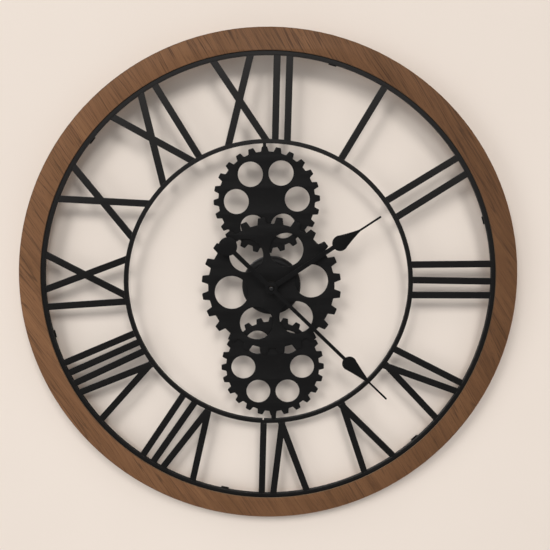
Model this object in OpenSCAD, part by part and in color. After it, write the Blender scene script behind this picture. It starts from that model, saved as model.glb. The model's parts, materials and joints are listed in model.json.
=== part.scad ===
// Open-frame wall clock: a wooden rim, two metal rings joined by Roman numerals, three fixed
// gear plates and a battery movement behind the middle one.
// X points right, Z up and +Y from the viewer to the wall. The origin is the centre of the rim,
// half-way through the clock's depth. Depths in this file are counted from the rim's front face.

/* [Rim] */
// Outside diameter of the wooden rim
rim_d = 700; // [690:1:710]
// Radial width of the rim
rim_w = 29.7; // [28.5:0.1:31]
// Thickness of the rim, front to back
rim_depth = 18; // [17:0.5:20]
// Thickness of the veneer on the face and of the band round the outside
veneer = 0.6; // [0.4:0.1:1]
// Height of the rubber bumpers on the back
bumper_h = 5; // [5:0.5:8]

/* [Metal frame] */
// Width and depth of the bar that both rings are bent from
bar = 6; // [5:0.5:6.5]
// Depth of the frame's front face behind the rim's front face
frame_inset = 1.5; // [1:0.1:2]
// Inside radius of the inner ring
inner_ring_r = 197.8; // [197:0.1:198.5]
// Width of the flat strip in the numerals
strip_w = 9.4; // [8:0.1:10]
// Thickness of the flat strip in the numerals
strip_t = 3; // [2:0.5:5]
// Thickness of the lugs and of the hanger plate
lug_t = 1.5; // [1:0.1:2]

/* [Gear plates] */
// Thickness of each gear plate
plate_t = 2.5; // [2:0.1:2.5]
// Number of teeth on each gear plate
cog_teeth = 24; // [20:1:26]
// Tip radius of the middle plate
middle_tip_r = 98; // [95:0.1:99]
// Tip radius of the top and bottom plates
small_tip_r = 73.6; // [72:0.1:74]

/* [Hands] */
// Sideways offset of the hands' axis from the middle of the rim
axis_x = 4; // [-5:0.5:5]
// Upward offset of the hands' axis from the middle of the rim
axis_z = -1; // [-3:0.5:3]
// Direction of the hour hand, clockwise from twelve
hour_hand_angle = 56.5; // [0:0.5:359.5]
// Direction of the minute hand, clockwise from twelve
minute_hand_angle = 134.5; // [0:0.5:359.5]
// Length of the hour hand from the axis
hour_hand_l = 181; // [150:1:185]
// Length of the minute hand from the axis
minute_hand_l = 231; // [200:1:240]
// Thickness of the hands
hand_t = 0.8; // [0.6:0.1:0.8]

/* [Movement] */
// Width and height of the movement case
case_w = 56; // [56:0.5:57]
// Thickness of the movement case, front to back
case_d = 16; // [16:0.5:16.5]
// Wall thickness of the movement case
case_wall = 1.2; // [1:0.1:1.4]
// Outside radius of the round cup that covers the movement
cup_r = 41.5; // [41:0.5:43]
// Radial gap between a turning shaft and its hole
play = 0.05; // [0.03:0.01:0.08]

/* [Hidden] */
$fn = 96;
TINY = 0.02;         // radial gap of a pressed or glued round joint
CUT = 1;             // how far a cutter runs past the faces it cuts

// Depth stations, counted from the rim's front face, positive towards the wall
cap_front = -15.5;
wall_back = rim_depth + bumper_h;
rim_y = -(cap_front + wall_back) / 2;
cup_front = plate_t;
cup_t = 1.2;
seal_t = 1.5;
case_front_y = cup_front + cup_t + seal_t;
case_back_y = case_front_y + case_d;
floor_y = case_front_y + case_wall;
lid_y = case_back_y - case_wall;

// Rim and rings
rim_r = rim_d / 2;
rim_in = rim_r - rim_w;
ring_fit = 0.3;
weld_gap = 0.05;
outer_ring_out = rim_in - ring_fit;
outer_ring_in = outer_ring_out - bar;
inner_ring_out = inner_ring_r + bar;
rim_mid = rim_r - rim_w / 2;

// Numeral strokes, one list for each hour from twelve round to eleven. Each stroke is
// [start, end]: how far it stands to the clockwise side of its hour line where it meets
// the inner ring and the outer ring.
STROKES = [
    [[-54, -24], [-4, -73], [9.5, 12], [26, 29]],
    [[-2, -0.5]],
    [[-22, -25], [5, 0.5]],
    [[-30, -31], [-8, -6], [13.5, 14]],
    [[-10, -15], [18, -1], [16, 48.5]],
    [[-2.5, -31], [-5, 18]],
    [[7.5, 10.5], [-19.5, -6.5], [-18, -56]],
    [[26.5, 33.5], [7, 15.5], [-15.5, -1], [-16, -49]],
    [[36, 49], [22, 33], [7, 16], [-15, 0.5], [-14, -49.5]],
    [[-22.5, -30], [-13, 44.5], [37.5, -5]],
    [[-34.5, 10.5], [16.5, -38.5]],
    [[-53.5, -17], [-3.5, -66], [8, 5.5]]
];

// Lugs, bumpers and hanger: clockwise angles from twelve, and sizes
LUG_ANGLES = [16, 73, 137, 192, 257, 310];
BUMPER_ANGLES = [45, 105, 225, 285];
lug_w = 11;
lug_foot_in = outer_ring_in - 1.3;
lug_end = rim_mid + 7;
screw_r = 1.7;
screw_head_r = 3.6;
screw_l = 12;
hanger_w = 60;
hanger_h = 21;
hanger_screw_x = 23;
keyhole_r = 4.5;
keyhole_slot_r = 2.25;
keyhole_rise = 8.5;
keyhole_z = rim_mid - 4.5;
pocket_w = 30;
pocket_h = 19;
pocket_d = 6;

// Seam of the inner ring, a notch on its inside
seam_x = -8;
seam_w = 1.8;
seam_d = 2.6;

// Gear plates: centre, phase and sizes. A tooth stands at the phase angle, counted
// anticlockwise from +X. Tooth height, tooth widths at root and tip, then the six holes.
top_x = -2.2;
top_z = 120.2;
top_phase = 2.3;
bottom_x = 5.8;
bottom_z = -118.8;
bottom_phase = 0.5;
middle_phase = 8.3;
cog_h_small = 6.9;
small_root_w = 10.8;
small_tip_w = 7.1;
small_hole_r = 17.2;
small_hole_at = 42.2;
cog_h_middle = 9.2;
middle_root_w = 13.2;
middle_tip_w = 8.9;
middle_hole_r = 23.7;
middle_hole_at = 56.6;
cog_holes = 6;
cog_round = 1.2;

// Teeth drawn out to the inner ring: sideways place and width
top_neck_x = -5.2;
top_neck_w = 4.5;
bottom_neck_x = 7.2;
bottom_neck_w = 7;

// Round cup, and the hole in it and in the middle plate that clears the threaded bush
bush_r = 4;
bush_hole_r = bush_r + 0.2;
cup_shoulder = 7;
cup_depth = case_back_y - 3 - cup_front;

// Movement layers, front to back: hour work, minute work, then the train
layer_hour = 7.2;
layer_minute = 8.7;
layer_center = 10.4;
layer_third = 12;
layer_fourth = 13.6;
layer_fifth = 15.2;
layer_coil = 17;
wheel_t = 0.8;
pinion_more = 0.2;

// Tooth counts and modules of each pair
m_minute = 0.35;
cannon_n = 12;
motion_n = 36;
motion_pinion_n = 10;
hour_n = 40;
motion_dist = m_minute * (cannon_n + motion_n) / 2;
m_hour = 2 * motion_dist / (motion_pinion_n + hour_n);
knob_n = 10;
m_center = 0.3;
center_n = 64;
third_pinion_n = 8;
m_third = 0.25;
third_n = 60;
fourth_pinion_n = 8;
m_fourth = 0.25;
fourth_n = 50;
fifth_pinion_n = 10;
m_fifth = 0.2;
fifth_n = 48;
rotor_pinion_n = 8;

// Directions of the gear centres from each other, anticlockwise from +X
motion_dir = 200;
knob_dir = 180;
third_dir = 30;
fourth_dir = 110;
fifth_dir = 170;
rotor_dir = 170;

function toward(from, dir, dist) = from + dist * [cos(dir), sin(dir)];
center_at = [axis_x, axis_z];
motion_at = toward(center_at, motion_dir, motion_dist);
knob_at = toward(motion_at, knob_dir, m_minute * (motion_n + knob_n) / 2);
third_at = toward(center_at, third_dir, m_center * (center_n + third_pinion_n) / 2);
fourth_at = toward(third_at, fourth_dir, m_third * (third_n + fourth_pinion_n) / 2);
fifth_at = toward(fourth_at, fifth_dir, m_fourth * (fourth_n + fifth_pinion_n) / 2);
rotor_at = toward(fifth_at, rotor_dir, m_fifth * (fifth_n + rotor_pinion_n) / 2);

arbor_r = 0.5;
rotor_arbor_r = 0.4;
boss_wall = 0.5;
pivot_l = 0.8;
end_play = 0.2;
post_r = 0.8;
magnet_r = 2.7;

// Case layout, from the hands' axis
battery_r = 7.25;
battery_v = -19.05;
divider_v = -10.9;
divider_t = 0.9;
coil_u = -21.5;
coil_low = 8;
coil_high = 24;
coil_tube_r = 1.5;
coil_wire_r = 2.2;
coil_flange_r = 2.4;
coil_flange_t = 0.6;
core_w = 2;
core_t = 1;
board_u = 13.5;
board_v = -9;
board_w = 12.5;
board_h = 26;
board_t = 0.8;

case_corner = 4;
contact_w = 9;
contact_t = 0.4;

// Fine gear teeth: pressure angle
pressure = 20;

// Blades: needle at the tip, then the spades, hubs and counterweight
needle_r = 1.4;
hour_spade_at = 114;
hour_spade_r = 11;
hour_flank_end = 147;
hour_shaft_w = 6.8;
hour_hub_r = 9;
minute_spade_at = 155;
minute_spade_r = 10.3;
minute_flank_end = 197;
minute_shaft_w = 5.6;
minute_hub_r = 8;
tail_l = 84;
tail_w = 6.6;
tail_root_w = 6;
tail_disc_r = 13;

// Hand stack
pipe_out = 2.5;
pipe_in = 1.8;
arbor_top_r = 1.75;
arbor_tip_r = 1.4;
bush_front = -6;
hour_blade_y = -8.6;
minute_blade_y = -11.9;
hour_collet_r = 4;
minute_collet_r = 3.2;

// ---- shared shapes ----

// Upright plate: the outline is drawn as seen from the front, at a depth behind the rim's face.
module plate(front, thick)
    translate([0, rim_y + front + thick, 0]) rotate([90, 0, 0]) linear_extrude(thick) children();

// Turned part: the profile is drawn as (radius, depth) round a front-to-back axis.
module turned(at)
    translate([at[0], rim_y, at[1]]) rotate([-90, 0, 0]) rotate_extrude() children();

// Straight round rod between two depths
module rod(at, front, back, r)
    plate(front, back - front) translate(at) circle(r);

// Outline ring
module ring2d(r_out, r_in) {
    difference() {
        circle(r_out);
        circle(r_in);
    }
}

// Where a clockwise angle from twelve points
function clock_dir(a) = [sin(a), cos(a)];

// Lays a shape drawn at twelve round to a clockwise angle
module around(a) rotate([0, a, 0]) children();

// A corner p of an outline, rounded to radius r between its neighbours a and b
function unit(v) = v / norm(v);
function rounded(a, p, b, r) =
    let (
        u = unit(a - p),
        v = unit(b - p),
        half = acos(u * v) / 2,
        c = p + unit(u + v) * r / sin(half),
        from = p + u * r / tan(half) - c,
        to = p + v * r / tan(half) - c,
        turn = atan2(from[0] * to[1] - from[1] * to[0], from * to)
    )
    [for (k = [0:3]) let (t = turn * k / 3)
        c + [from[0] * cos(t) - from[1] * sin(t), from[0] * sin(t) + from[1] * cos(t)]];
function smooth_outline(pts, r) =
    let (n = len(pts))
    [for (i = [0:n - 1]) each rounded(pts[(i + n - 1) % n], pts[i], pts[(i + 1) % n], r)];

// Round windows between hub and toothed rim
module windows(count, at_r, r)
    for (i = [0:count - 1]) rotate(360 * i / count) translate([at_r, 0]) circle(r);

// Cut-out gear outline with straight-sided teeth
function cog_corners(tip_r, h, w_root, w_tip) =
    [for (i = [0:cog_teeth - 1]) each [for (c = [[tip_r - h, -w_root], [tip_r, -w_tip],
                                                 [tip_r, w_tip], [tip_r - h, w_root]])
        let (a = 360 * i / cog_teeth) [c[0] * cos(a) - c[1] / 2 * sin(a),
                                       c[0] * sin(a) + c[1] / 2 * cos(a)]]];

module cog2d(tip_r, h, w_root, w_tip, phase, hole_r, hole_at) {
    rotate(phase) difference() {
        polygon(smooth_outline(cog_corners(tip_r, h, w_root, w_tip), cog_round));
        windows(cog_holes, hole_at, hole_r);
    }
}

// Fine clock gear outline: involute flanks, share = tooth width over pitch
function inv_deg(rb, r) =
    r <= rb ? 0 : let (t = sqrt(r * r / rb / rb - 1)) t * 180 / PI - atan(t);
function flank(n, m, share, top, steps) =
    let (
        r = n * m / 2,
        rb = r * cos(pressure),
        low = r - 1.15 * m,
        high = r + top * m,
        at_pitch = share * 180 / n + inv_deg(rb, r)
    )
    [for (k = [0:steps]) let (q = low + (high - low) * k / steps) [q, at_pitch - inv_deg(rb, q)]];
function gear_points(n, m, share, top, steps) =
    let (f = flank(n, m, share, top, steps))
    [for (i = [0:n - 1]) each [
        for (k = [0:steps]) let (a = 360 * i / n - f[k][1]) f[k][0] * [cos(a), sin(a)],
        for (k = [steps:-1:0]) let (a = 360 * i / n + f[k][1]) f[k][0] * [cos(a), sin(a)]
    ]];

// Wheel with a gap facing dir, drawn round its own centre
module wheel2d(n, m, dir)
    rotate(dir + 180 / n) polygon(gear_points(n, m, 0.44, 0.8, 3));

// Pinion with a tooth facing dir
module pinion2d(n, m, dir)
    rotate(dir) polygon(gear_points(n, m, 0.36, 0.75, 4));

// Wheel and pinion on one arbor, with a pivot at each end
module train_wheel(at, wheel_y, pinion_y, n, m, dir, pinion_n, pinion_m, pinion_dir, holes) {
    plate(wheel_y, wheel_t) translate(at) difference() {
        wheel2d(n, m, dir);
        windows(4, holes[0], holes[1]);
    }
    plate(pinion_y - pinion_more, wheel_t + 2 * pinion_more)
        translate(at) pinion2d(pinion_n, pinion_m, pinion_dir);
    rod(at, pinion_y - pinion_more - end_play - pivot_l, wheel_y + wheel_t + end_play + pivot_l,
        arbor_r);
}

// Bearing boss that stands on one wall of the case and takes a pivot in a blind hole
module boss_front(at, top, r)
    difference() {
        rod(at, floor_y - CUT / 4, top, r + play + boss_wall);
        rod(at, top - pivot_l - end_play, top + CUT, r + play);
    }

module boss_back(at, top, r)
    difference() {
        rod(at, top, lid_y + CUT / 4, r + play + boss_wall);
        rod(at, top - CUT, top + pivot_l + end_play, r + play);
    }

// Outline of the square case, grown or shrunk by an inset
module case2d(inset) {
    half = case_w / 2 - inset;
    corner = case_corner - inset;
    translate(center_at) union() {
        square([2 * (half - corner), 2 * half], center = true);
        square([2 * half, 2 * (half - corner)], center = true);
        for (x = [-1, 1])
            for (y = [-1, 1])
                translate([x, y] * (half - corner)) circle(corner);
    }
}

// Pan-head wood screw driven into the back of the rim, head flush on a plate's back face
module back_screw(at)
    union() {
        rod(at, rim_depth + lug_t - screw_l, rim_depth + lug_t, screw_r);
        turned(at) difference() {
            polygon([[0, rim_depth + lug_t], [screw_head_r, rim_depth + lug_t],
                     [screw_head_r, rim_depth + lug_t + 1], [2.2, rim_depth + lug_t + 2.2],
                     [0, rim_depth + lug_t + 2.2]]);
            translate([0, rim_depth + lug_t + 1.2]) square([0.9, 2]);
        }
    }

// ---- rim and frame ----

module rim_core() color("#a87b52")
    difference() {
        plate(veneer, rim_depth - veneer) ring2d(rim_r - veneer, rim_in);
        for (a = LUG_ANGLES)
            rod(rim_mid * clock_dir(a), rim_depth + lug_t - screw_l - CUT, rim_depth + CUT,
                screw_r + play);
        for (s = [-1, 1])
            rod([s * hanger_screw_x, rim_mid], rim_depth + lug_t - screw_l - CUT,
                rim_depth + CUT, screw_r + play);
        plate(rim_depth - pocket_d, pocket_d + CUT)
            translate([0, rim_mid]) square([pocket_w, pocket_h], center = true);
    }

module rim_veneer() color("#8a5a3a")
    plate(0, veneer) ring2d(rim_r - veneer, rim_in);

module rim_edge_band() color("#7d5034")
    plate(0, rim_depth) ring2d(rim_r, rim_r - veneer + weld_gap);

module outer_ring() color("#1b1b1d")
    plate(frame_inset, bar) ring2d(outer_ring_out, outer_ring_in);

// The inner ring is bent from one bar; the notch on its inside is the seam of its two ends.
module inner_ring() color("#1b1b1d")
    plate(frame_inset, bar) difference() {
        ring2d(inner_ring_out, inner_ring_r);
        translate([seam_x - seam_w / 2, -inner_ring_r - seam_d])
            square([seam_w, 2 * seam_d]);
    }

// Numeral strokes run from ring to ring and are trimmed to the space between them.
function on_circle(r, u) = [u, sqrt(r * r - u * u)];
module stroke2d(s) {
    a = on_circle(inner_ring_out, s[0]);
    b = on_circle(outer_ring_in, s[1]);
    along = unit(b - a);
    mid = (a + b) / 2;
    translate(mid) rotate(atan2(along[1], along[0]))
        square([norm(b - a) + 2 * strip_w, strip_w], center = true);
}

module numeral(hour) color("#1b1b1d")
    plate(frame_inset, strip_t) rotate(-30 * hour) intersection() {
        ring2d(outer_ring_in - weld_gap, inner_ring_out + weld_gap);
        for (s = STROKES[hour]) stroke2d(s);
    }

module small_cog2d(phase)
    cog2d(small_tip_r, cog_h_small, small_root_w, small_tip_w, phase, small_hole_r, small_hole_at);

module gear_top() color("#202022")
    plate(plate_t, plate_t) {
        translate([top_x, top_z])
            small_cog2d(top_phase);
        neck(top_neck_x, top_z + small_tip_r - cog_h_small, inner_ring_r, top_neck_w);
    }

module gear_bottom() color("#202022")
    plate(plate_t, plate_t) {
        translate([bottom_x, bottom_z])
            small_cog2d(bottom_phase);
        neck(bottom_neck_x, -inner_ring_r, bottom_z - small_tip_r + cog_h_small, bottom_neck_w);
    }

// Tooth drawn out to reach the inner ring, where it is welded
module neck(x, low, high, w)
    intersection() {
        translate([x - w / 2, low - CUT]) square([w, high - low + 2 * CUT]);
        circle(inner_ring_r - weld_gap);
    }

module gear_middle() color("#202022")
    plate(0, plate_t) translate(center_at) difference() {
        cog2d(middle_tip_r, cog_h_middle, middle_root_w, middle_tip_w, middle_phase,
            middle_hole_r, middle_hole_at);
        circle(bush_hole_r);
    }

// Half profile of the cup as (radius, depth), shrunk by an inset
module cup2d(inset) {
    r = cup_r - inset;
    s = cup_shoulder - inset;
    square([r - s, cup_depth]);
    translate([0, s]) square([r, cup_depth - s]);
    translate([r - s, s]) circle(s);
}

module movement_cup() color("#1e1e20")
    turned(center_at) translate([0, cup_front]) difference() {
        cup2d(0);
        translate([0, cup_t]) cup2d(cup_t);
        translate([-CUT, -CUT]) square([bush_hole_r + CUT, 2 * CUT + cup_t]);
        translate([0, cup_depth - cup_t - CUT]) square([cup_r - cup_t, cup_t + 2 * CUT]);
    }

// Z-shaped lug: foot on the back of the outer ring, leg beside the rim, tab on the rim's back
module frame_lugs() color("#1b1b1d")
    for (a = LUG_ANGLES)
        around(a) lug();

module lug() {
    ring_back = frame_inset + bar;
    leg_out = outer_ring_out - 0.1;
    translate([-lug_w / 2, rim_y, 0])
        difference() {
            union() {
                translate([0, ring_back, lug_foot_in])
                    cube([lug_w, lug_t, leg_out - lug_foot_in]);
                translate([0, ring_back, leg_out - lug_t])
                    cube([lug_w, rim_depth + lug_t - ring_back, lug_t]);
                translate([0, rim_depth, leg_out - lug_t])
                    cube([lug_w, lug_t, lug_end - leg_out + lug_t]);
            }
            translate([lug_w / 2, rim_depth - CUT, rim_mid]) rotate([-90, 0, 0])
                cylinder(r = screw_r + 0.4, h = lug_t + 2 * CUT);
        }
}

module lug_screws() color("#b9bcc0")
    for (a = LUG_ANGLES)
        back_screw(rim_mid * clock_dir(a));

module hanger_plate() color("#b9bcc0")
    plate(rim_depth, lug_t) difference() {
        translate([0, rim_mid]) square([hanger_w, hanger_h], center = true);
        for (s = [-1, 1])
            translate([s * hanger_screw_x, rim_mid]) circle(screw_r + 0.4);
        translate([0, keyhole_z]) circle(keyhole_r);
        translate([-keyhole_slot_r, keyhole_z]) square([2 * keyhole_slot_r, keyhole_rise]);
        translate([0, keyhole_z + keyhole_rise]) circle(keyhole_slot_r);
    }

module hanger_screws() color("#b9bcc0")
    for (s = [-1, 1])
        back_screw([s * hanger_screw_x, rim_mid]);

module wall_bumpers() color("#2a2a2a")
    for (a = BUMPER_ANGLES)
        turned(rim_mid * clock_dir(a))
            polygon([[0, rim_depth], [6.5, rim_depth], [6.5, rim_depth + bumper_h - 1],
                     [5.5, wall_back], [0, wall_back]]);

// ---- movement case ----

module sealing_washer() color("#2a2a2a")
    plate(case_front_y - seal_t, seal_t) translate(center_at) ring2d(11, bush_r + 0.1);

module case_front() color("#26282b")
    difference() {
        union() {
            plate(case_front_y, case_wall) case2d(0);
            plate(case_front_y, case_d) difference() {
                case2d(0);
                case2d(case_wall);
            }
            plate(floor_y - CUT / 4, case_back_y - floor_y + CUT / 4) intersection() {
                case2d(case_wall / 2);
                translate(center_at + [0, divider_v])
                    square([case_w, divider_t], center = true);
            }
            boss_front(third_at, layer_center - pinion_more - end_play, arbor_r);
            boss_front(fourth_at, layer_third - pinion_more - end_play, arbor_r);
            boss_front(fifth_at, layer_fourth - pinion_more - end_play, arbor_r);
            boss_front(rotor_at, layer_fifth - pinion_more - end_play, rotor_arbor_r);
            boss_front(knob_at, layer_minute - pinion_more - end_play, arbor_r);
            rod(motion_at, floor_y - CUT / 4, layer_minute + wheel_t + 0.4, post_r);
            for (p = board_posts())
                rod(p, floor_y - CUT / 4, layer_coil + 0.2, 1.2);
        }
        rod(center_at, case_front_y - CUT, floor_y + CUT, bush_r + TINY);
    }

function board_posts() =
    [for (v = [board_v + 2, board_v + board_h - 2]) center_at + [board_u + board_w - 2, v]];

module case_back() color("#26282b")
    difference() {
        union() {
            plate(lid_y, case_wall) intersection() {
                case2d(case_wall + 0.1);
                translate(center_at + [-case_w / 2, divider_v + divider_t / 2 + 0.1])
                    square([case_w, case_w]);
            }
            boss_back(third_at, layer_third + wheel_t + end_play, arbor_r);
            boss_back(fourth_at, layer_fourth + wheel_t + end_play, arbor_r);
            boss_back(fifth_at, layer_fifth + wheel_t + end_play, arbor_r);
            boss_back(rotor_at, layer_coil + 1.4 + end_play, rotor_arbor_r);
            boss_back(center_at, layer_center + wheel_t + 1.2, 0.7);
        }
        rod(knob_at, lid_y - CUT, case_back_y + CUT, 0.9 + play);
    }

module threaded_bush() color("#c9a54a")
    turned(center_at) difference() {
        union() {
            translate([0, bush_front]) square([bush_r, floor_y + 0.6 - bush_front]);
            translate([0, floor_y]) square([5.5, 0.6]);
        }
        translate([-CUT, bush_front - CUT])
            square([CUT + pipe_out + play, floor_y + 2 + 2 * CUT - bush_front]);
    }

module dial_washer() color("#c9a54a")
    plate(-0.5, 0.5) translate(center_at) ring2d(7, bush_r + 0.1);

module dial_nut() color("#c9a54a")
    plate(-3, 2.5) translate(center_at) difference() {
        circle(r = 6.9, $fn = 6);
        circle(bush_r + TINY);
    }

module battery() color("#3d6b45")
    translate([axis_x, rim_y + floor_y + 0.2 + battery_r, axis_z + battery_v])
        rotate([0, 90, 0]) {
            translate([0, 0, -24.2]) cylinder(r = battery_r, h = 49);
            translate([0, 0, 24.7]) cylinder(r = 2.75, h = 1.2);
        }

module contact_positive() color("#b9bcc0")
    translate([axis_x + 26.1, rim_y + floor_y + 3, axis_z + battery_v - contact_w / 2])
        cube([contact_t, 9, contact_w]);

// Leaf bent into a spring that pushes on the flat end of the cell
module contact_negative() color("#b9bcc0")
    translate([axis_x - 26.7, rim_y, axis_z + battery_v - contact_w / 2])
        linear_extrude(contact_w) polygon([
            [0, floor_y + 2], [contact_t, floor_y + 2], [2.4, floor_y + 7], [contact_t, floor_y + 12],
            [0, floor_y + 12], [1.9, floor_y + 7]
        ]);

module circuit_board() color("#1f6b3a")
    plate(layer_coil + 0.2, board_t) translate(center_at) difference() {
        translate([board_u, board_v]) square([board_w, board_h]);
        translate([board_u + 2.5, board_v + 3]) circle(0.8);
    }

module driver_chip() color("#141414")
    plate(layer_coil - 0.8, 1) translate(center_at + [board_u + 3, board_v + 9])
        square([4.5, 4.5]);

module quartz_crystal() color("#b9bcc0")
    translate([axis_x + board_u + 5, rim_y + layer_coil - 0.85, axis_z + board_v + 16])
        cylinder(r = 1, h = 6);

module stator() color("#8d9196")
    plate(layer_coil, core_t) difference() {
        translate(center_at) union() {
            translate([coil_u - core_w / 2, coil_low - 2.5])
                square([core_w, coil_high - coil_low + 4.8]);
            for (v = [coil_low - 2.5, coil_high + 0.3])
                translate([coil_u - core_w / 2, v])
                    square([rotor_at[0] - axis_x - coil_u + 2, 2]);
            translate([rotor_at[0] - axis_x - 1, coil_low - 2.5])
                square([2, coil_high - coil_low + 4.8]);
            translate(rotor_at - center_at) circle(magnet_r + 1.5);
        }
        translate(rotor_at) circle(magnet_r + 0.3);
    }

module coil_bobbin() color("#e8e6df")
    translate([axis_x + coil_u, rim_y + layer_coil + core_t / 2, axis_z + coil_low])
        difference() {
            union() {
                cylinder(r = coil_tube_r, h = coil_high - coil_low);
                for (z = [0, coil_high - coil_low - coil_flange_t])
                    translate([0, 0, z]) cylinder(r = coil_flange_r, h = coil_flange_t);
            }
            translate([-core_w / 2 - play, -core_t / 2 - play, -CUT])
                cube([core_w + 2 * play, core_t + 2 * play, coil_high - coil_low + 2 * CUT]);
        }

module coil_winding() color("#b5651d")
    translate([axis_x + coil_u, rim_y + layer_coil + core_t / 2,
               axis_z + coil_low + coil_flange_t + TINY])
        difference() {
            cylinder(r = coil_wire_r, h = coil_high - coil_low - 2 * (coil_flange_t + TINY));
            translate([0, 0, -CUT])
                cylinder(r = coil_tube_r + TINY, h = coil_high - coil_low + CUT);
        }

// ---- train, from the motor to the centre ----

module rotor() color("#55585c") {
    rod(rotor_at, layer_coil - 0.2, layer_coil + 1.4, magnet_r);
    plate(layer_fifth - pinion_more, wheel_t + 2 * pinion_more)
        translate(rotor_at) pinion2d(rotor_pinion_n, m_fifth, rotor_dir + 180);
    rod(rotor_at, layer_fifth - pinion_more - end_play - pivot_l,
        layer_coil + 1.4 + end_play + pivot_l, rotor_arbor_r);
}

module fifth_wheel() color("#ece9e0")
    train_wheel(fifth_at, layer_fifth, layer_fourth, fifth_n, m_fifth, rotor_dir,
        fifth_pinion_n, m_fourth, fifth_dir + 180, [2.7, 0.9]);

module fourth_wheel() color("#ece9e0")
    train_wheel(fourth_at, layer_fourth, layer_third, fourth_n, m_fourth, fifth_dir,
        fourth_pinion_n, m_third, fourth_dir + 180, [3.5, 1.3]);

module third_wheel() color("#ece9e0")
    train_wheel(third_at, layer_third, layer_center, third_n, m_third, fourth_dir,
        third_pinion_n, m_center, third_dir + 180, [4.2, 1.6]);

module center_wheel() color("#c9a54a")
    plate(layer_center, wheel_t) translate(center_at) difference() {
        wheel2d(center_n, m_center, third_dir);
        windows(5, 5.6, 2);
        circle(1.2 + play);
    }

// ---- motion work and hands ----

module minute_arbor() color("#c9a54a") {
    pivot_back = layer_center + wheel_t + 1.2 + pivot_l;
    turned(center_at) polygon([
        [0, cap_front + 0.9], [arbor_tip_r, cap_front + 0.9], [arbor_tip_r, minute_blade_y - 0.4],
        [arbor_top_r, minute_blade_y - 0.4], [arbor_top_r, layer_minute - pinion_more],
        [1.2, layer_minute - pinion_more], [1.2, layer_center + wheel_t + 0.4],
        [0.7, layer_center + wheel_t + 0.4], [0.7, pivot_back], [0, pivot_back]
    ]);
    plate(layer_minute - pinion_more, wheel_t + 2 * pinion_more)
        translate(center_at) pinion2d(cannon_n, m_minute, motion_dir);
}

module motion_wheel() color("#ece9e0")
    difference() {
        union() {
            plate(layer_minute, wheel_t)
                translate(motion_at) wheel2d(motion_n, m_minute, motion_dir + 180);
            plate(layer_hour - pinion_more, layer_minute - layer_hour + pinion_more)
                translate(motion_at) pinion2d(motion_pinion_n, m_hour, motion_dir + 180);
        }
        rod(motion_at, layer_hour - CUT, layer_minute + wheel_t + CUT, post_r + play);
    }

module hour_wheel() color("#ece9e0")
    difference() {
        union() {
            plate(layer_hour, wheel_t)
                translate(center_at) wheel2d(hour_n, m_hour, motion_dir);
            rod(center_at, hour_blade_y - 0.9, layer_hour + wheel_t, pipe_out);
        }
        rod(center_at, hour_blade_y - 0.9 - CUT, layer_hour + wheel_t + CUT, pipe_in);
    }

module setting_knob() color("#26282b") {
    plate(layer_minute - pinion_more, wheel_t + 2 * pinion_more)
        translate(knob_at) pinion2d(knob_n, m_minute, knob_dir + 180);
    rod(knob_at, layer_minute - pinion_more - end_play - pivot_l, layer_minute, arbor_r);
    rod(knob_at, layer_minute + wheel_t, case_back_y + 0.2, 0.9);
    plate(case_back_y + 0.1, 1.2) translate(knob_at) difference() {
        circle(5);
        for (i = [0:11]) rotate(30 * i) translate([5.3, 0]) circle(r = 0.7, $fn = 24);
    }
}

// Spade blade: half-outline as (distance along, half-width). The round back of the spade is
// a circle, and its flanks draw in to the needle that runs to the tip.
function flare(s0, s1, w0, w1, n) =
    [for (k = [0:n]) let (t = k / n) [s0 + (s1 - s0) * t, w1 + (w0 - w1) * pow(1 - t, 1.2)]];
function both_sides(half) = concat(half, [for (i = [len(half) - 1:-1:0]) [half[i][0], -half[i][1]]]);

// Blade outline laid along a hand's direction
module blade(y, angle)
    plate(y, hand_t) translate(center_at) rotate(90 - angle) children();

module spade(y, angle, tip, spade_at, spade_r, flank_end, shaft_w) {
    blade(y, angle) polygon(both_sides(concat(
        [[0, shaft_w / 2], [spade_at, shaft_w / 2 - 0.4]],
        flare(spade_at + spade_r * 0.3, flank_end, spade_r * 0.94, needle_r, 8),
        [[tip - needle_r, needle_r]]
    )));
    blade(y, angle) translate([spade_at, 0]) circle(spade_r);
    blade(y, angle) translate([tip - needle_r, 0]) circle(needle_r);
}

module hour_hand() color("#161618")
    difference() {
        union() {
            spade(hour_blade_y, hour_hand_angle, hour_hand_l, hour_spade_at, hour_spade_r,
                hour_flank_end, hour_shaft_w);
            blade(hour_blade_y, hour_hand_angle) circle(hour_hub_r);
        }
        rod(center_at, hour_blade_y - CUT, hour_blade_y + hand_t + CUT, hour_collet_r + TINY);
    }

module minute_hand() color("#161618")
    difference() {
        union() {
            spade(minute_blade_y, minute_hand_angle, minute_hand_l, minute_spade_at,
                minute_spade_r, minute_flank_end, minute_shaft_w);
            blade(minute_blade_y, minute_hand_angle) polygon([
                [0, tail_root_w / 2], [-tail_l, tail_w / 2],
                [-tail_l, -tail_w / 2], [0, -tail_root_w / 2]
            ]);
            blade(minute_blade_y, minute_hand_angle) translate([-tail_l, 0]) circle(tail_disc_r);
            blade(minute_blade_y, minute_hand_angle) circle(minute_hub_r);
        }
        rod(center_at, minute_blade_y - CUT, minute_blade_y + hand_t + CUT,
            minute_collet_r + TINY);
    }

module hour_collet() color("#c9a54a")
    turned(center_at) difference() {
        union() {
            translate([0, hour_blade_y - 0.4]) square([hour_collet_r, 2.1]);
            translate([0, hour_blade_y + hand_t]) square([5.5, 0.9]);
        }
        translate([-CUT, hour_blade_y - 2]) square([pipe_out + TINY + CUT, 6]);
    }

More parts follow.
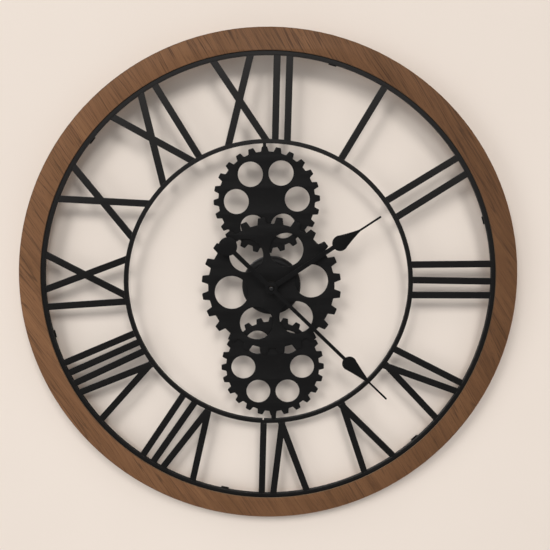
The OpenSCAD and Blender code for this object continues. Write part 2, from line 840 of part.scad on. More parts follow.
module minute_collet() color("#c9a54a")
    turned(center_at) difference() {
        union() {
            translate([0, minute_blade_y - 0.3]) square([minute_collet_r, 2]);
            translate([0, minute_blade_y + hand_t]) square([4.6, 0.9]);
        }
        translate([-CUT, minute_blade_y - 2]) square([arbor_top_r + TINY + CUT, 6]);
    }

// Domed nut that closes the front of the arbor
module cap_nut() color("#3a3a3d")
    turned(center_at) difference() {
        polygon([[0, cap_front], [1.6, cap_front], [2.7, cap_front + 0.7],
                 [3.2, cap_front + 1.6], [3.2, minute_blade_y - 0.4], [0, minute_blade_y - 0.4]]);
        translate([0, cap_front + 0.8]) square([arbor_tip_r + TINY, 5]);
    }

rim_core();
rim_veneer();
rim_edge_band();
outer_ring();
inner_ring();
numeral(1);  // numeral_01
numeral(2);  // numeral_02
numeral(3);  // numeral_03
numeral(4);  // numeral_04
numeral(5);  // numeral_05
numeral(6);  // numeral_06
numeral(7);  // numeral_07
numeral(8);  // numeral_08
numeral(9);  // numeral_09
numeral(10);  // numeral_10
numeral(11);  // numeral_11
numeral(0);  // numeral_12
gear_top();
gear_middle();
gear_bottom();
movement_cup();
frame_lugs();
lug_screws();
hanger_plate();
hanger_screws();
wall_bumpers();
sealing_washer();
case_front();
case_back();
threaded_bush();
dial_washer();
dial_nut();
battery();
contact_positive();
contact_negative();
circuit_board();
driver_chip();
quartz_crystal();
stator();
coil_bobbin();
coil_winding();
rotor();
fifth_wheel();
fourth_wheel();
third_wheel();
center_wheel();
minute_arbor();
motion_wheel();
hour_wheel();
setting_knob();
hour_hand();
hour_collet();
minute_hand();
minute_collet();
cap_nut();
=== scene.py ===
import json
import math
import random

import bmesh
import bpy
from mathutils import Matrix, Vector


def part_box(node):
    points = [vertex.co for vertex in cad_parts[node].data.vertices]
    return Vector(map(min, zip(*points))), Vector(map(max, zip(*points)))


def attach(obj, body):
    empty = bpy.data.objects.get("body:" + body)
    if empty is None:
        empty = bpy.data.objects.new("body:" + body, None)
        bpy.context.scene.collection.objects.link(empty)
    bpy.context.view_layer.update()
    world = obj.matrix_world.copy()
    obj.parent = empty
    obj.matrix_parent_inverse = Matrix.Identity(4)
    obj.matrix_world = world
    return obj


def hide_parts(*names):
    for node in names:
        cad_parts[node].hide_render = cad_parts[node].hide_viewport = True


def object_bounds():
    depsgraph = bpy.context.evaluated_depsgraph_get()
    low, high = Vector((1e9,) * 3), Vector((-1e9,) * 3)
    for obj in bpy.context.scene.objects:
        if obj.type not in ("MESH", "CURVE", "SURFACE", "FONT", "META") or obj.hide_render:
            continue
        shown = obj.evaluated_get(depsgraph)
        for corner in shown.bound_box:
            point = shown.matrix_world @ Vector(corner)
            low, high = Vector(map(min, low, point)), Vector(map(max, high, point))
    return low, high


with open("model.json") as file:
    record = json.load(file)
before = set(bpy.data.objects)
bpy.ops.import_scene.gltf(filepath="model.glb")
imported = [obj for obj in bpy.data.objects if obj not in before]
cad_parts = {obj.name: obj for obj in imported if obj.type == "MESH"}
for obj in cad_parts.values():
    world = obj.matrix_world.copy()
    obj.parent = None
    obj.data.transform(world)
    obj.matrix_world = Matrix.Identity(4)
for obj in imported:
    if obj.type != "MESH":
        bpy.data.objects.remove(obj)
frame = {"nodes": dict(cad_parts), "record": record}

CAD_BOX = [list(corner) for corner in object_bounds()]
random.seed(7)
scene = bpy.context.scene
nodes = frame["nodes"]

# ---------------------------------------------------------------- what the scene is set by

CAMERA_AT = (0.0037, -1.026, 0.1995)  # metres
CAMERA_DOWN, CAMERA_TURN = 10.18, -0.303  # degrees
CAMERA_SENSOR, CAMERA_LENS = 36.0, 48.46  # millimetres

WALL_SPAN = 4.0  # metres each way from the middle
WALL_LEAN = 1.0  # degrees: the clock tips forward on its hanger, and its foot rests on the wall
GRAIN_LEAN = 32  # degrees that the veneer's grain leans left from upright

SHARP_ANGLE, HAND_SHARP_ANGLE = 32, 40  # degrees above which an edge stays sharp
EDGE_STEPS = 2
EDGE_ROUND = {  # metres: radius of the rounded edge of each kind of plate
    "rim_veneer": 0.00022, "rim_edge_band": 0.00018, "ring": 0.0005, "numeral": 0.0004,
    "gear": 0.0003, "hand": 0.00016, "hanger_plate": 0.00025,
}
BEAD_RADIUS, BEAD_PITCH, BEAD_STEP, BEAD_SIDES = 0.0010, 0.0011, 0.00035, 8
BEAD_RIPPLE, BEAD_UNEVEN = 0.13, 0.04  # shares of the radius
BEAD_OFFSET, BEAD_PROUD = 0.0003, 0.0002  # metres from the ring and from the back face
BEAD_TRIM, BEAD_POINTS = 0.0008, 13  # metres left bare at each end, and points along the way
JOIN_GAP = 0.00005  # metres left in the CAD between a ring and what is welded to it
ON_CIRCLE = 0.00003  # metres within which an outline point counts as lying on a circle
ON_FACE = 2e-6  # metres within which a corner counts as lying in the front face
GRID = 1e-7  # metres: corners are matched on a grid as fine as this
MERGE = 1e-6  # metres within which points of a filled outline are one

# ---------------------------------------------------------------- material helpers


class Shader:
    """A Principled material and short ways to add nodes to it."""

    def __init__(self, name, **values):
        self.mat = bpy.data.materials.new(name)
        self.mat.use_nodes = True
        self.tree = self.mat.node_tree
        self.bsdf = self.tree.nodes["Principled BSDF"]
        for key, value in values.items():
            self.set(key.replace("_", " "), value)

    def set(self, socket, value):
        self.bsdf.inputs[socket].default_value = value

    def node(self, kind, **settings):
        made = self.tree.nodes.new(kind)
        for key, value in settings.items():
            setattr(made, key, value)
        return made

    def link(self, source, target):
        self.tree.links.new(source, target)

    def put(self, target, value):
        if isinstance(value, bpy.types.NodeSocket):
            self.link(value, target)
        elif value is not None:
            target.default_value = value

    def coords(self):
        return self.node("ShaderNodeTexCoord").outputs["Object"]

    def split(self, vector):
        """The X, Y and Z of a vector, by name."""
        made = self.node("ShaderNodeSeparateXYZ")
        self.link(vector, made.inputs[0])
        return made.outputs

    def joined(self, x, y, z=None):
        made = self.node("ShaderNodeCombineXYZ")
        for target, value in zip(made.inputs, (x, y, z)):
            self.put(target, value)
        return made.outputs[0]

    def mapped(self, vector, scale=(1, 1, 1), rotation=(0, 0, 0), location=(0, 0, 0)):
        made = self.node("ShaderNodeMapping")
        self.link(vector, made.inputs["Vector"])
        made.inputs["Scale"].default_value = scale
        made.inputs["Rotation"].default_value = rotation
        made.inputs["Location"].default_value = location
        return made.outputs["Vector"]

    def noise(self, vector, scale, detail, rough=0.55):
        made = self.node("ShaderNodeTexNoise")
        self.link(vector, made.inputs["Vector"])
        for key, value in (("Scale", scale), ("Detail", detail), ("Roughness", rough)):
            made.inputs[key].default_value = value
        return made.outputs["Fac"]

    def wave(self, vector, direction, scale, distortion=0.0):
        """Parallel bands across one axis."""
        made = self.node("ShaderNodeTexWave", wave_type="BANDS", bands_direction=direction)
        self.link(vector, made.inputs["Vector"])
        made.inputs["Scale"].default_value = scale
        made.inputs["Distortion"].default_value = distortion
        return made.outputs["Fac"]

    def ramp(self, value, stops):
        made = self.node("ShaderNodeValToRGB")
        self.link(value, made.inputs["Fac"])
        ends = made.color_ramp.elements
        while len(ends) < len(stops):
            ends.new(0.5)
        for end, (at, colour) in zip(ends, stops):
            end.position = at
            end.color = (*colour, 1.0) if isinstance(colour, tuple) else (colour,) * 3 + (1.0,)
        return made.outputs["Color"]

    def math(self, op, a, b=None, c=None, clamp=False):
        made = self.node("ShaderNodeMath", operation=op, use_clamp=clamp)
        for target, value in zip(made.inputs, (a, b, c)):
            self.put(target, value)
        return made.outputs[0]

    def mix(self, factor, a, b, blend="MIX"):
        made = self.node("ShaderNodeMix", data_type="RGBA", blend_type=blend)
        for target, value in ((made.inputs[0], factor), (made.inputs[6], a), (made.inputs[7], b)):
            if isinstance(value, tuple):
                value = (*value, 1.0)
            self.put(target, value)
        return made.outputs[2]

    def attribute(self, name):
        return self.node("ShaderNodeAttribute", attribute_name=name).outputs["Fac"]

    def bump(self, height, strength, distance, after=None):
        made = self.node("ShaderNodeBump")
        made.inputs["Strength"].default_value = strength
        made.inputs["Distance"].default_value = distance
        self.link(height, made.inputs["Height"])
        if after is not None:
            self.link(after, made.inputs["Normal"])
        self.link(made.outputs["Normal"], self.bsdf.inputs["Normal"])
        return made.outputs["Normal"]

    def colour(self, socket):
        self.link(socket, self.bsdf.inputs["Base Color"])

    def rough(self, value, low, high):
        made = self.node("ShaderNodeMapRange")
        self.link(value, made.inputs["Value"])
        made.inputs["To Min"].default_value = low
        made.inputs["To Max"].default_value = high
        self.link(made.outputs["Result"], self.bsdf.inputs["Roughness"])


def srgb(r, g, b):
    """Linear colour from the 0-255 values that a screen shows."""
    return tuple(c / 12.92 if c <= 0.04045 else ((c + 0.055) / 1.055) ** 2.4
                 for c in (r / 255, g / 255, b / 255))


def scaled(tone, factor):
    """A colour made darker or lighter."""
    return tuple(c * factor for c in tone)


# ---------------------------------------------------------------- materials

WOOD_DEEP, WOOD_MID, WOOD_WARM = srgb(112, 79, 52), srgb(120, 85, 58), srgb(128, 92, 63)
WOOD_DARK, WOOD_PALE = srgb(72, 47, 30), srgb(150, 110, 78)
VEIN_DARK, PORE_DARK = (0.035, 0.017, 0.009), (0.035, 0.02, 0.012)
WALL_TONES = ((0.74, 0.67, 0.614), (0.76, 0.69, 0.634))
# The middle tone of these three is painted sheen: the paler look of the coat towards the top of the
# clock, where light glances off it.
DUST, TOP_SHEEN_TONE, BARE_EDGE = (0.022, 0.021, 0.019), (0.026, 0.025, 0.025), (0.1, 0.097, 0.093)


def powder_coat(name, tone, rough=(0.52, 0.66), texture=1.0, wear=0.5, top_sheen=0.0):
    """Baked powder coat: an orange-peel skin, a little dust, and edges rubbed slightly bare.

    The last argument sets how much painted sheen shows towards the top of the clock: a paler tone
    that stands in for light glancing off the coat.
    """
    s = Shader(name, Specular_IOR_Level=0.13)
    at = s.coords()
    broad = s.noise(at, 22, 3)
    fine = s.noise(at, 1400, 2)
    base = s.ramp(broad, [(0.3, scaled(tone, 0.86)), (0.7, scaled(tone, 1.3))])
    dust = s.ramp(s.noise(at, 160, 5, 0.7), [(0.56, 0.0), (0.74, 1.0)])
    base = s.mix(s.math("MULTIPLY", dust, 0.16), base, DUST)
    # Painted sheen: the coat is made paler towards the top of the clock, standing in for light
    # glancing off it.
    if top_sheen:
        high = s.math("MULTIPLY", s.split(at)["Z"], 3.2, clamp=True)
        base = s.mix(s.math("MULTIPLY", high, top_sheen), base, TOP_SHEEN_TONE)
    patchy = s.ramp(s.noise(at, 260, 4, 0.7), [(0.48, 0.0), (0.66, 1.0)])
    edge = s.math("MULTIPLY", s.attribute("edge"), patchy)
    s.colour(s.mix(s.math("MULTIPLY", edge, wear), base, BARE_EDGE))
    s.rough(s.noise(at, 90, 4), *rough)
    peel = s.math("ADD", fine, s.math("MULTIPLY", s.noise(at, 420, 2), 1.6))
    s.bump(peel, 0.32 * texture, 0.00016)
    return s.mat


def veneer_wood():
    """Walnut-toned veneer, one sheet over the whole ring, grain leaning left at the top."""
    s = Shader("veneer_wood", Specular_IOR_Level=0.2)
    at = s.coords()
    grain = s.mapped(at, rotation=(0, math.radians(GRAIN_LEAN), 0))
    drift = s.noise(s.mapped(grain, scale=(1, 1, 0.25)), 9, 2)
    part = s.split(grain)
    line = s.joined(s.math("MULTIPLY_ADD", drift, 0.05, part["X"]), part["Y"], part["Z"])
    place = s.split(at)

    def along(stretch, scale, *rest):
        """Noise drawn out along the grain."""
        return s.noise(s.mapped(line, scale=(1, 1, stretch)), scale, *rest)

    def layer(colour, mask, strength, tone):
        return s.mix(s.math("MULTIPLY", mask, strength), colour, tone)

    bands, lines = along(0.035, 150, 3, 0.6), along(0.032, 520, 2, 0.6)
    fibre, pores = along(0.03, 1100, 3, 0.6), along(0.06, 1500, 2, 0.5)
    colour = s.ramp(along(0.06, 34, 3), [(0.3, WOOD_DEEP), (0.5, WOOD_MID), (0.72, WOOD_WARM)])
    colour = layer(colour, s.ramp(bands, [(0.45, 0.0), (0.75, 1.0)]), 0.3, WOOD_DARK)
    bold = s.math("MAXIMUM", s.math("MULTIPLY_ADD", place["Z"], 2.2, 0.14), 0.46)
    colour = layer(colour, s.ramp(lines, [(0.54, 0.0), (0.68, 1.0)]), bold, WOOD_DARK)
    colour = layer(colour, s.ramp(lines, [(0.34, 1.0), (0.48, 0.0)]), 0.16, WOOD_PALE)
    shade = s.ramp(s.math("MULTIPLY_ADD", place["X"], 1.4, 0.5, clamp=True),
                   [(0.0, (1.09, 1.08, 1.08)), (1.0, (0.72, 0.69, 0.65))])
    colour = s.mix(1.0, colour, shade, "MULTIPLY")
    vein = s.math("ABSOLUTE", s.math("SUBTRACT", along(0.03, 95, 2), 0.5))
    colour = layer(colour, s.ramp(vein, [(0.004, 1.0), (0.014, 0.0)]), 0.5, VEIN_DARK)
    colour = s.mix(0.3, colour, s.ramp(fibre, [(0.25, 0.35), (0.75, 1.0)]), "MULTIPLY")
    pore_mask = s.ramp(pores, [(0.62, 0.0), (0.72, 1.0)])
    colour = layer(colour, pore_mask, 0.5, PORE_DARK)
    s.colour(layer(colour, s.attribute("edge"), 0.4, WOOD_DARK))
    s.rough(s.noise(line, 60, 3), 0.5, 0.68)
    s.bump(fibre, 0.22, 0.00008, s.bump(pore_mask, 0.35, -0.00012))
    return s.mat


def band_wood():
    """Edge band: the same wood with its grain running round the rim."""
    s = Shader("band_wood", Specular_IOR_Level=0.2)
    at = s.coords()
    part = s.split(at)
    round_way = s.math("ARCTAN2", part["X"], part["Z"])
    along = s.joined(s.math("MULTIPLY", round_way, 0.35), part["Y"])
    tone = s.noise(s.mapped(along, scale=(0.05, 1, 1)), 120, 3)
    fibre = s.noise(s.mapped(along, scale=(0.03, 1, 1)), 1100, 4, 0.62)
    colour = s.ramp(tone, [(0.3, WOOD_DARK), (0.5, WOOD_MID), (0.75, WOOD_WARM)])
    colour = s.mix(0.3, colour, s.ramp(fibre, [(0.3, 0.3), (0.7, 1.0)]), "MULTIPLY")
    s.colour(colour)
    s.rough(s.noise(at, 60, 3), 0.45, 0.62)
    s.bump(fibre, 0.3, 0.0001)
    return s.mat


def fibreboard():
    """Raw medium-density board: fine matted fibres, faint sanding marks."""
    s = Shader("fibreboard", Specular_IOR_Level=0.25)
    at = s.coords()
    fleck = s.noise(at, 900, 4, 0.7)
    colour = s.ramp(s.noise(at, 40, 4), [(0.3, (0.235, 0.15, 0.088)), (0.7, (0.3, 0.2, 0.125))])
    colour = s.mix(0.5, colour, s.ramp(fleck, [(0.3, 0.5), (0.7, 1.0)]), "MULTIPLY")
    hairs = s.noise(s.mapped(at, scale=(1, 1, 0.2), rotation=(0, 0.7, 0)), 1500, 2)
    colour = s.mix(s.math("MULTIPLY", s.ramp(hairs, [(0.62, 0.0), (0.7, 1.0)]), 0.45),
                   colour, (0.42, 0.31, 0.2))
    s.colour(colour)
    s.set("Roughness", 0.85)
    s.bump(fleck, 0.4, 0.0001)
    return s.mat


def metal(name, tone, rough, streak=(1, 1, 1), stain=None):
    """Bare or plated metal, cloudy and brushed along the streak, with stains if given."""
    s = Shader(name, Metallic=1.0)
    at = s.coords()
    cloud = s.noise(at, 160, 4, 0.6)
    colour = s.ramp(cloud, [(0.3, scaled(tone, 0.82)), (0.7, scaled(tone, 1.1))])
    if stain is not None:
        spots = s.ramp(s.noise(at, 420, 4, 0.7), [(0.55, 0.0), (0.75, 1.0)])
        colour = s.mix(s.math("MULTIPLY", spots, 0.35), colour, stain)
    s.colour(colour)
    brushed = s.noise(s.mapped(at, scale=streak), 1600, 2)
    s.rough(s.math("ADD", s.math("MULTIPLY", cloud, 0.6), s.math("MULTIPLY", brushed, 0.4)),
            *rough)
    s.bump(brushed, 0.15, 0.00004)
    return s.mat


def moulded(name, tone, rough=(0.38, 0.52), spark=0.25):
    """Injection-moulded plastic with a fine spark-eroded grain."""
    s = Shader(name, Specular_IOR_Level=0.45)
    at = s.coords()
    s.colour(s.ramp(s.noise(at, 90, 3), [(0.3, scaled(tone, 0.88)), (0.7, scaled(tone, 1.14))]))
    s.rough(s.noise(at, 300, 3), *rough)
    s.bump(s.noise(at, 2600, 2), spark, 0.00005)
    return s.mat


def rubber():
    """Matt black rubber of the wall bumpers and the washer."""
    s = Shader("rubber", Specular_IOR_Level=0.3)
    at = s.coords()
    s.colour(s.ramp(s.noise(at, 300, 4), [(0.3, (0.016, 0.016, 0.017)), (0.7, (0.03, 0.03, 0.03))]))
    s.rough(s.noise(at, 500, 3), 0.68, 0.86)
    s.bump(s.noise(at, 1800, 3), 0.35, 0.00008)
    return s.mat


def wound_wire():
    """Fine enamelled wire wound round the bobbin."""
    s = Shader("wound_wire", Metallic=0.85)
    at = s.coords()
    turns = s.wave(at, "Z", 1500, 0.4)
    colour = s.ramp(turns, [(0.0, (0.17, 0.055, 0.018)), (0.7, (0.52, 0.21, 0.07))])
    s.colour(s.mix(s.math("MULTIPLY", s.noise(at, 300, 3), 0.3), colour, (0.33, 0.1, 0.03)))
    s.rough(s.noise(at, 400, 2), 0.28, 0.42)
    s.bump(turns, 0.5, 0.00006)
    return s.mat


def circuit():
    """Green solder mask over copper tracks, which run across some patches and along others."""
    s = Shader("circuit", Specular_IOR_Level=0.5)
    at = s.coords()
    patch = s.node("ShaderNodeTexChecker")
    s.link(s.mapped(at, location=(0.0011, 0.0, 0.0017)), patch.inputs["Vector"])
    patch.inputs["Scale"].default_value = 210
    across = s.mix(patch.outputs["Fac"], s.wave(at, "X", 330), s.wave(at, "Z", 330))
    present = s.ramp(s.noise(at, 240, 1), [(0.44, 0.0), (0.5, 1.0)])
    tracks = s.math("MULTIPLY", s.ramp(across, [(0.55, 0.0), (0.68, 1.0)]), present)
    weave = s.noise(at, 900, 2)
    colour = s.ramp(weave, [(0.3, (0.012, 0.085, 0.035)), (0.7, (0.02, 0.12, 0.05))])
    s.colour(s.mix(s.math("MULTIPLY", tracks, 0.5), colour, (0.05, 0.22, 0.08)))
    s.rough(weave, 0.3, 0.42)
    s.bump(tracks, 0.3, 0.00004)
    return s.mat


def cell_sleeve():
    """Shrink sleeve of the dry cell: a dark barrel with a coppery shoulder, and a bare cap."""
    lo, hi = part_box("battery")
    s = Shader("cell_sleeve", Specular_IOR_Level=0.5)
    at = s.coords()
    share = s.node("ShaderNodeMapRange")
    s.link(s.split(at)["X"], share.inputs["Value"])
    share.inputs["From Min"].default_value = lo.x
    share.inputs["From Max"].default_value = hi.x
    along = share.outputs["Result"]
    shoulder = s.ramp(along, [(0.7, 0.0), (0.703, 1.0)])
    cap = s.ramp(along, [(0.965, 0.0), (0.97, 1.0)])
    scuff = s.noise(at, 240, 4, 0.7)
    colour = s.mix(shoulder, (0.028, 0.03, 0.034), (0.42, 0.19, 0.06))
    colour = s.mix(cap, colour, (0.6, 0.58, 0.55))
    s.colour(s.mix(0.25, colour, s.ramp(scuff, [(0.35, 0.5), (0.65, 1.0)]), "MULTIPLY"))
    s.link(s.math("MAXIMUM", s.math("MULTIPLY", shoulder, 0.6), cap), s.bsdf.inputs["Metallic"])
    s.rough(scuff, 0.22, 0.38)
    s.bump(scuff, 0.12, 0.00005)
    return s.mat


def wall_paint():
    """Matt paint, on the room's side only, so that the clock's back can be seen through it."""
    s = Shader("wall_paint", Roughness=0.9, Specular_IOR_Level=0.2)
    at = s.coords()
    s.colour(s.ramp(s.noise(at, 3, 3), [(0.3, WALL_TONES[0]), (0.7, WALL_TONES[1])]))
    s.bump(s.noise(at, 260, 4, 0.6), 0.12, 0.0006)
    behind = s.node("ShaderNodeBsdfTransparent")
    facing = s.node("ShaderNodeNewGeometry")
    one_sided = s.node("ShaderNodeMixShader")
    s.link(facing.outputs["Backfacing"], one_sided.inputs["Fac"])
    s.link(s.bsdf.outputs[0], one_sided.inputs[1])
    s.link(behind.outputs[0], one_sided.inputs[2])
    s.link(one_sided.outputs[0], s.tree.nodes["Material Output"].inputs["Surface"])
    return s.mat


MATERIALS = {
    # The frame's coat gets the painted sheen towards the top of the clock.
    "black_frame": powder_coat("black_frame", (0.0046, 0.0044, 0.0045), top_sheen=0.55),
    "black_plate": powder_coat("black_plate", (0.0042, 0.0041, 0.0044), texture=0.8),
    "black_cup": powder_coat("black_cup", (0.0036, 0.0036, 0.004), rough=(0.46, 0.58),
                             texture=0.7),
    "black_hands": powder_coat("black_hands", (0.0028, 0.0028, 0.0031), rough=(0.42, 0.54),
                               texture=0.45, wear=0.35),
    "wood_veneer": veneer_wood(),
    "edge_band": band_wood(),
    "wood_core": fibreboard(),
    "zinc_steel": metal("zinc_steel", (0.56, 0.57, 0.58), (0.3, 0.5), stain=(0.5, 0.42, 0.24)),
    "contact_steel": metal("contact_steel", (0.66, 0.66, 0.66), (0.22, 0.36), (1, 1, 0.1)),
    "soft_iron": metal("soft_iron", (0.4, 0.41, 0.43), (0.34, 0.5), (0.1, 1, 1)),
    "magnet": metal("magnet", (0.24, 0.25, 0.27), (0.35, 0.5)),
    "brass": metal("brass", (0.78, 0.56, 0.24), (0.24, 0.4), (1, 0.1, 1), (0.42, 0.24, 0.1)),
    "dark_nut": metal("dark_nut", (0.045, 0.045, 0.047), (0.3, 0.46)),
    "copper_wire": wound_wire(),
    "rubber": rubber(),
    "black_plastic": moulded("black_plastic", (0.017, 0.0175, 0.0185)),
    "white_plastic": moulded("white_plastic", (0.74, 0.72, 0.66), (0.34, 0.46), 0.15),
    "battery_sleeve": cell_sleeve(),
    "board": circuit(),
    "chip": moulded("chip", (0.012, 0.012, 0.012), (0.5, 0.62), 0.2),
}

# ---------------------------------------------------------------- pieces made from CAD outlines

SLOT_OF = {part["node"]: part["material_slot"] for part in frame["record"]["subparts"]}
BODY_OF = {name: body for body, names in frame["record"]["behaviour"]["bodies"].items()
           for name in names}


def face_loops(name):
    """The outlines of a plate node's front face, as closed lists of (x, z)."""
    points = [v.co for v in nodes[name].data.vertices]
    level = min(p.y for p in points)
    edges = set()
    for face in nodes[name].data.polygons:
        corners = [points[i] for i in face.vertices]
        if max(abs(c.y - level) for c in corners) > ON_FACE:
            continue
        keys = [(round(c.x / GRID), round(c.z / GRID)) for c in corners]
        for a, b in zip(keys, keys[1:] + keys[:1]):
            if (b, a) in edges:
                edges.remove((b, a))
            elif a != b:
                edges.add((a, b))
    following = {}
    for a, b in sorted(edges):
        following.setdefault(a, []).append(b)
    loops = []
    while following:
        start = min(following)
        loop, here = [], start
        while True:
            loop.append((here[0] * GRID, here[1] * GRID))
            after = following[here].pop()
            if not following[here]:
                del following[here]
            here = after
            if here == start:
                break
        loops.append(loop)
    return loops


def plate_mesh(name, loops, front, back, edge):
    """A plate between two depths with rounded edges, filled from closed outlines."""
    curve = bpy.data.curves.new(name, "CURVE")
    curve.dimensions, curve.fill_mode = "2D", "BOTH"
    curve.extrude = (back - front) / 2 - edge
    curve.bevel_depth, curve.bevel_resolution = edge, EDGE_STEPS
    curve.offset = -edge
    for loop in loops:
        spline = curve.splines.new("POLY")
        spline.points.add(len(loop) - 1)
        for point, (x, z) in zip(spline.points, loop):
            point.co = (x, z, 0, 1)
        spline.use_cyclic_u = True
    holder = bpy.data.objects.new(name, curve)
    scene.collection.objects.link(holder)
    graph = bpy.context.evaluated_depsgraph_get()
    mesh = bpy.data.meshes.new_from_object(holder.evaluated_get(graph))
    bpy.data.objects.remove(holder)
    bpy.data.curves.remove(curve)
    mesh.transform(Matrix.Translation((0, (front + back) / 2, 0))
                   @ Matrix.Rotation(math.radians(90), 4, "X"))
    mesh.materials.clear()
    bm = bmesh.new()
    bm.from_mesh(mesh)
    bmesh.ops.remove_doubles(bm, verts=bm.verts, dist=MERGE)
    bmesh.ops.dissolve_degenerate(bm, edges=bm.edges, dist=MERGE)
    bmesh.ops.recalc_face_normals(bm, faces=bm.faces)
    bm.to_mesh(mesh)
    bm.free()
    return mesh


def mark_edges(mesh, front, back, edge):
    """Vertices on the rounded edges, between flat face and side wall, get edge = 1."""
    worn = mesh.attributes.new("edge", "FLOAT", "POINT")
    slack = edge * 0.02
    values = []
    for v in mesh.vertices:
        rise = min(v.co.y - front, back - v.co.y)
        values.append(1.0 if slack < rise < edge - slack else 0.0)
    worn.data.foreach_set("value", values)


def weld_bead(bm, path):
    """A rippled weld bead along a path of points, with rounded ends."""
    length = sum((b - a).length for a, b in zip(path, path[1:]))
    count = max(8, int(length / BEAD_STEP))
    marks, spent, at = [], 0.0, 0
    for i in range(count + 1):
        want = length * i / count
        while at < len(path) - 2 and spent + (path[at + 1] - path[at]).length < want:
            spent += (path[at + 1] - path[at]).length
            at += 1
        step = path[at + 1] - path[at]
        share = (want - spent) / step.length if step.length else 0.0
        marks.append((path[at] + step * min(1.0, share), step.normalized(), want))
    rings = []
    for centre, along, want in marks:
        end_gap = min(want, length - want)
        taper = min(1.0, math.sqrt(max(0.02, end_gap / (BEAD_RADIUS * 0.9))))
        ripple = (1 + BEAD_RIPPLE * math.sin(want / BEAD_PITCH * 2 * math.pi)
                  + random.uniform(-BEAD_UNEVEN, BEAD_UNEVEN))
        side = along.cross(Vector((0, 1, 0))).normalized()
        up = side.cross(along)
        r = BEAD_RADIUS * taper * ripple
        rings.append([bm.verts.new(centre + (side * math.cos(t) + up * math.sin(t)) * r)
                      for t in (2 * math.pi * k / BEAD_SIDES for k in range(BEAD_SIDES))])
    for a, b in zip(rings, rings[1:]):
        for k in range(BEAD_SIDES):
            after = (k + 1) % BEAD_SIDES
            bm.faces.new((a[k], a[after], b[after], b[k]))
    bm.faces.new(rings[0][::-1])
    bm.faces.new(rings[-1])


def circle_arcs(loops, radius):
    """Where outlines follow a circle round the rim's axis, as (first, last) angles."""
    arcs = []
    for loop in loops:
        on = [abs(math.hypot(x, z) - radius) < ON_CIRCLE for x, z in loop]
        if all(on) or not any(on):
            continue
        start = next(i for i in range(len(loop)) if on[i] and not on[i - 1])
        run = []
        for k in range(len(loop) + 1):
            i = (start + k) % len(loop)
            if k < len(loop) and on[i]:
                run.append(math.atan2(*loop[i]))
            elif run:
                if len(run) > 1:
                    arcs.append((run[0], run[-1]))
                run = []
    return arcs


def bead_path(arc, radius, back):
    """Points of a weld bead on a plate's back, a little shorter than the arc it follows."""
    a, b = arc
    if abs(b - a) > math.pi:
        b += math.copysign(2 * math.pi, a - b)
    trim = math.copysign(BEAD_TRIM / radius, b - a)
    a, b = a + trim, b - trim
    return [Vector((radius * math.sin(t), back + BEAD_PROUD, radius * math.cos(t)))
            for t in (a + (b - a) * k / (BEAD_POINTS - 1) for k in range(BEAD_POINTS))]


def ring_radii(name):
    """(inner, outer) radius of a ring node."""
    reach = [math.hypot(v.co.x, v.co.z) for v in nodes[name].data.vertices]
    return min(reach), max(reach)


def plate_piece(name, edge, sharp=SHARP_ANGLE, welds=()):
    """A bevelled piece in the place of a flat CAD node, with weld beads on its back.

    welds: (radius of a ring's face, 1 or -1 for a weld outside or inside it) pairs.
    """
    lo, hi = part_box(name)
    loops = face_loops(name)
    mesh = plate_mesh(name, loops, lo.y, hi.y, edge)
    mark_edges(mesh, lo.y, hi.y, edge)
    if welds:
        bm = bmesh.new()
        bm.from_mesh(mesh)
        for radius, way in welds:
            for arc in circle_arcs(loops, radius + way * JOIN_GAP):
                weld_bead(bm, bead_path(arc, radius + way * BEAD_OFFSET, hi.y))
        bm.to_mesh(mesh)
        bm.free()
    slot = SLOT_OF[name]
    obj = bpy.data.objects.new(name + "_piece", mesh)
    scene.collection.objects.link(obj)
    mesh.materials.clear()
    mesh.materials.append(MATERIALS[slot])
    mesh.shade_smooth()
    mesh.set_sharp_from_angle(angle=math.radians(sharp))
    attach(obj, BODY_OF[name])
    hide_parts(name)


# ---------------------------------------------------------------- rim, rings, numerals, gears

inner_lo, inner_hi = ring_radii("inner_ring")
outer_lo = ring_radii("outer_ring")[0]

for name in ("rim_veneer", "rim_edge_band"):
    plate_piece(name, EDGE_ROUND[name])
for name in ("outer_ring", "inner_ring"):
    plate_piece(name, EDGE_ROUND["ring"])
for hour in range(1, 13):
    plate_piece(f"numeral_{hour:02d}", EDGE_ROUND["numeral"],
                welds=((inner_hi, 1), (outer_lo, -1)))
for name in ("gear_top", "gear_bottom"):
    plate_piece(name, EDGE_ROUND["gear"], welds=((inner_lo, -1),))
plate_piece("gear_middle", EDGE_ROUND["gear"])
for name in ("hour_hand", "minute_hand"):
    plate_piece(name, EDGE_ROUND["hand"], HAND_SHARP_ANGLE)
plate_piece("hanger_plate", EDGE_ROUND["hanger_plate"])

# ---------------------------------------------------------------- CAD nodes that stay

for name, node in nodes.items():
    if node.hide_render:
        continue
    node.data.materials.clear()
    node.data.materials.append(MATERIALS[SLOT_OF[name]])

# ---------------------------------------------------------------- stage, light, camera

wall_y = CAD_BOX[1][1]
wall_mesh = bpy.data.meshes.new("wall")
lean = math.tan(math.radians(WALL_LEAN))
foot = CAD_BOX[0][2]
low_y, high_y = (wall_y + lean * (z - foot) for z in (-WALL_SPAN, WALL_SPAN))
corners = [(x * WALL_SPAN, y, z * WALL_SPAN)
           for x, y, z in ((-1, low_y, -1), (1, low_y, -1), (1, high_y, 1), (-1, high_y, 1))]
wall_mesh.from_pydata(corners, [], [(0, 1, 2, 3)])
wall_mesh.materials.append(wall_paint())
wall = bpy.data.objects.new("wall", wall_mesh)
scene.collection.objects.link(wall)
wall.visible_shadow = False


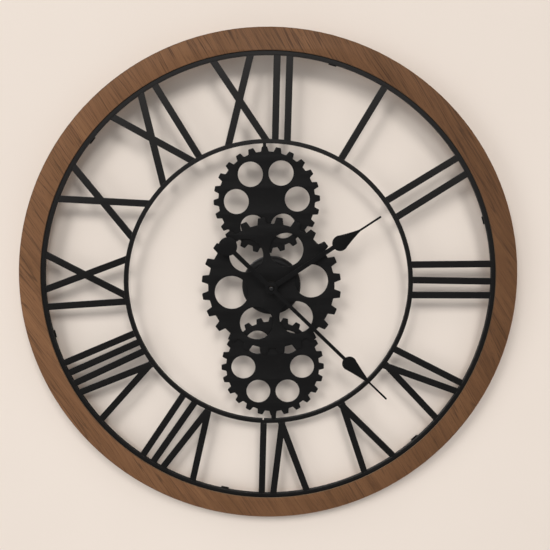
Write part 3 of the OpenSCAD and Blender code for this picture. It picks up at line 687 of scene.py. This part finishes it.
def area_light(name, place, aim, size, power, colour):
    """A soft box in the room, out of the camera's sight."""
    data = bpy.data.lights.new(name, "AREA")
    data.shape, data.size, data.size_y = "RECTANGLE", *size
    data.energy, data.color = power, colour
    light = bpy.data.objects.new(name, data)
    light.location = place
    light.rotation_euler = (Vector(aim) - Vector(place)).to_track_quat("-Z", "Y").to_euler()
    light.visible_camera = False
    scene.collection.objects.link(light)


def far_light(name, toward, power, spread, colour):
    """A distant soft lamp, which lights the whole wall alike."""
    data = bpy.data.lights.new(name, "SUN")
    data.energy, data.angle, data.color = power, math.radians(spread), colour
    light = bpy.data.objects.new(name, data)
    light.rotation_euler = Vector(toward).to_track_quat("-Z", "Y").to_euler()
    scene.collection.objects.link(light)


far_light("right_lamp", (-0.19, 0.76, -0.62), 1.13, 19, (1.0, 0.97, 0.93))
far_light("left_lamp", (0.4, 0.76, -0.59), 0.98, 19, (1.0, 0.97, 0.93))
far_light("downlight", (0.05, 0.45, -0.9), 0.2, 24, (1.0, 0.96, 0.92))
far_light("window", (0.8, 0.6, -0.1), 0.34, 28, (1.0, 0.99, 0.98))
area_light("room", (-1.7, -1.7, 0.5), (-0.2, 0, 0), (1.2, 1.2), 5, (1.0, 0.985, 0.96))
area_light("back_fill", (-1.2, 2.2, 1.2), (0, 0, 0), (2.0, 2.0), 45, (0.97, 0.98, 1.0))

world = bpy.data.worlds.new("studio")
scene.world = world
world.use_nodes = True
sky = world.node_tree.nodes["Background"]
sky.inputs["Color"].default_value = (0.8, 0.78, 0.76, 1)
sky.inputs["Strength"].default_value = 0.58

camera_data = bpy.data.cameras.new("camera")
camera = bpy.data.objects.new("camera", camera_data)
scene.collection.objects.link(camera)
scene.camera = camera
camera_data.sensor_width, camera_data.lens = CAMERA_SENSOR, CAMERA_LENS
camera.location = CAMERA_AT
camera.rotation_euler = (math.radians(90 - CAMERA_DOWN), 0, math.radians(CAMERA_TURN))
scene.view_settings.view_transform = "Standard"
scene.view_settings.look = "None"
